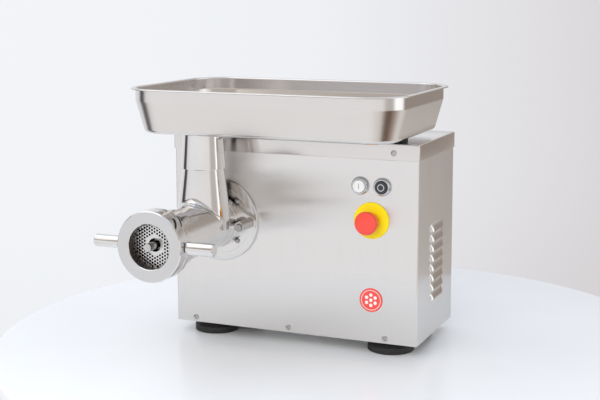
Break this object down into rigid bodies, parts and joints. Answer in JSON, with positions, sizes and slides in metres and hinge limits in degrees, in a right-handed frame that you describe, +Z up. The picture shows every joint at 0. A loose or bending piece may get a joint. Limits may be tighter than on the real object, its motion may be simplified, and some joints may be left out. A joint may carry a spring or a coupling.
{
  "type": "electric meat grinder",
  "caption": "Electric meat grinder: steel housing with motor and gears, screw-feed head with ring nut and plate, feed tray, push buttons and emergency stop.",
  "frame": {"origin": "middle of the whole machine's box in plan, on the surface that its feet stand on", "axes": "+X to the right along the wide front, +Y to the back, so the head points along -Y, +Z up"},
  "size_m": [0.483, 0.466, 0.4316],
  "materials": {
    "brushed_sheet": "fine satin brushed stainless sheet",
    "polished_steel": "polished cast and turned stainless",
    "machined_steel": "turned and ground steel",
    "fastener_steel": "bright fastener steel",
    "gear_case": "cast aluminium",
    "gear_steel": "oiled cut gear",
    "motor_paint": "grey enamel",
    "laminations": "varnished laminations and winding",
    "black_rubber": "matte black rubber",
    "black_plastic": "matte black moulding",
    "button_white": "satin white moulding",
    "button_black": "satin black moulding",
    "bezel_metal": "satin chrome",
    "signal_yellow": "yellow plate",
    "signal_red": "red moulding",
    "badge_red": "red enamel with a pale line",
    "switch_grey": "grey moulding",
    "capacitor_white": "pale case"
  },
  "bodies": {
    "housing": {"housing_shell": "brushed_sheet", "base_plate": "brushed_sheet", "rear_panel": "brushed_sheet", "top_lid": "brushed_sheet", "flange_disc": "polished_steel", "grinding_head": "polished_steel", "head_nut_left": "polished_steel", "head_nut_right": "polished_steel", "output_bearing": "machined_steel", "motor_bearing_front": "machined_steel", "motor_bearing_rear": "machined_steel", "head_stud_left": "fastener_steel", "head_stud_right": "fastener_steel", "flange_screw_1": "fastener_steel", "flange_screw_2": "fastener_steel", "flange_screw_3": "fastener_steel", "flange_screw_4": "fastener_steel", "plate_key": "fastener_steel", "gearbox_body": "gear_case", "gearbox_cover": "gear_case", "motor_frame": "motor_paint", "motor_end_shield": "motor_paint", "stator_core": "laminations", "foot_front_left": "black_rubber", "foot_front_right": "black_rubber", "foot_rear_left": "black_rubber", "foot_rear_right": "black_rubber", "lid_bumper_front": "black_rubber", "lid_bumper_rear": "black_rubber", "shaft_seal": "black_rubber", "cable_gland": "black_plastic", "fan_cowl": "black_plastic", "start_bezel": "bezel_metal", "stop_bezel": "bezel_metal", "estop_disc": "signal_yellow", "badge": "badge_red", "start_contact_block": "switch_grey", "stop_contact_block": "switch_grey", "estop_contact_block": "switch_grey", "contactor": "switch_grey", "run_capacitor": "capacitor_white"},
    "feed_screw": {"auger": "machined_steel", "cross_knife": "machined_steel", "output_shaft": "machined_steel", "output_gear": "gear_steel"},
    "idler": {"idler_gear": "gear_steel", "idler_shaft": "machined_steel"},
    "motor_rotor": {"motor_shaft": "machined_steel", "rotor_core": "gear_steel", "cooling_fan": "black_plastic"},
    "plate": {"hole_plate": "polished_steel"},
    "ring": {"ring_nut": "polished_steel", "ring_handle_left": "polished_steel", "ring_handle_right": "polished_steel"},
    "tray": {"feed_tray": "brushed_sheet", "tray_spout": "polished_steel"},
    "start_push": {"start_button": "button_white"},
    "stop_push": {"stop_button": "button_black"},
    "estop_plunger": {"estop_stem": "switch_grey"},
    "estop_head": {"estop_mushroom": "signal_red"}
  },
  "joints": [
    {"name": "feed_screw_spin", "type": "hinge", "parent": "housing", "child": "feed_screw", "pos_m": [-0.1152, -0.083, 0.2035], "axis": [0, -1, 0], "continuous": true},
    {"name": "idler_spin", "type": "hinge", "parent": "housing", "child": "idler", "pos_m": [-0.05882, 0.047, 0.18298], "axis": [0, -1, 0], "continuous": true},
    {"name": "motor_spin", "type": "hinge", "parent": "housing", "child": "motor_rotor", "pos_m": [-0.00244, 0.117, 0.16246], "axis": [0, -1, 0], "continuous": true},
    {"name": "plate_travel", "type": "slide", "parent": "housing", "child": "plate", "axis": [0, -1, 0], "range_m": [0, 0.0121]},
    {"name": "ring_unscrew", "type": "hinge", "parent": "plate", "child": "ring", "pos_m": [-0.1152, -0.211, 0.2035], "axis": [0, -1, 0], "range_deg": [0, 1080]},
    {"name": "tray_lift", "type": "slide", "parent": "housing", "child": "tray", "axis": [0, 0, 1], "range_m": [0, 0.06]},
    {"name": "start_press", "type": "slide", "parent": "housing", "child": "start_push", "axis": [0, 1, 0], "range_m": [0, 0.004], "stiffness_N_per_m": 400},
    {"name": "stop_press", "type": "slide", "parent": "housing", "child": "stop_push", "axis": [0, 1, 0], "range_m": [0, 0.004], "stiffness_N_per_m": 400},
    {"name": "estop_press", "type": "slide", "parent": "housing", "child": "estop_plunger", "axis": [0, 1, 0], "range_m": [0, 0.005]},
    {"name": "estop_twist", "type": "hinge", "parent": "estop_plunger", "child": "estop_head", "pos_m": [0.1555, -0.003, 0.2213], "axis": [0, 1, 0], "range_deg": [0, 45], "stiffness_Nm_per_rad": 0.05}
  ],
  "couplings": [
    {"joint": "idler_spin", "follows": "feed_screw_spin", "ratio": -3},
    {"joint": "motor_spin", "follows": "feed_screw_spin", "ratio": 9},
    {"joint": "plate_travel", "follows": "ring_unscrew", "m_per_rad": 0.00063662}
  ]
}
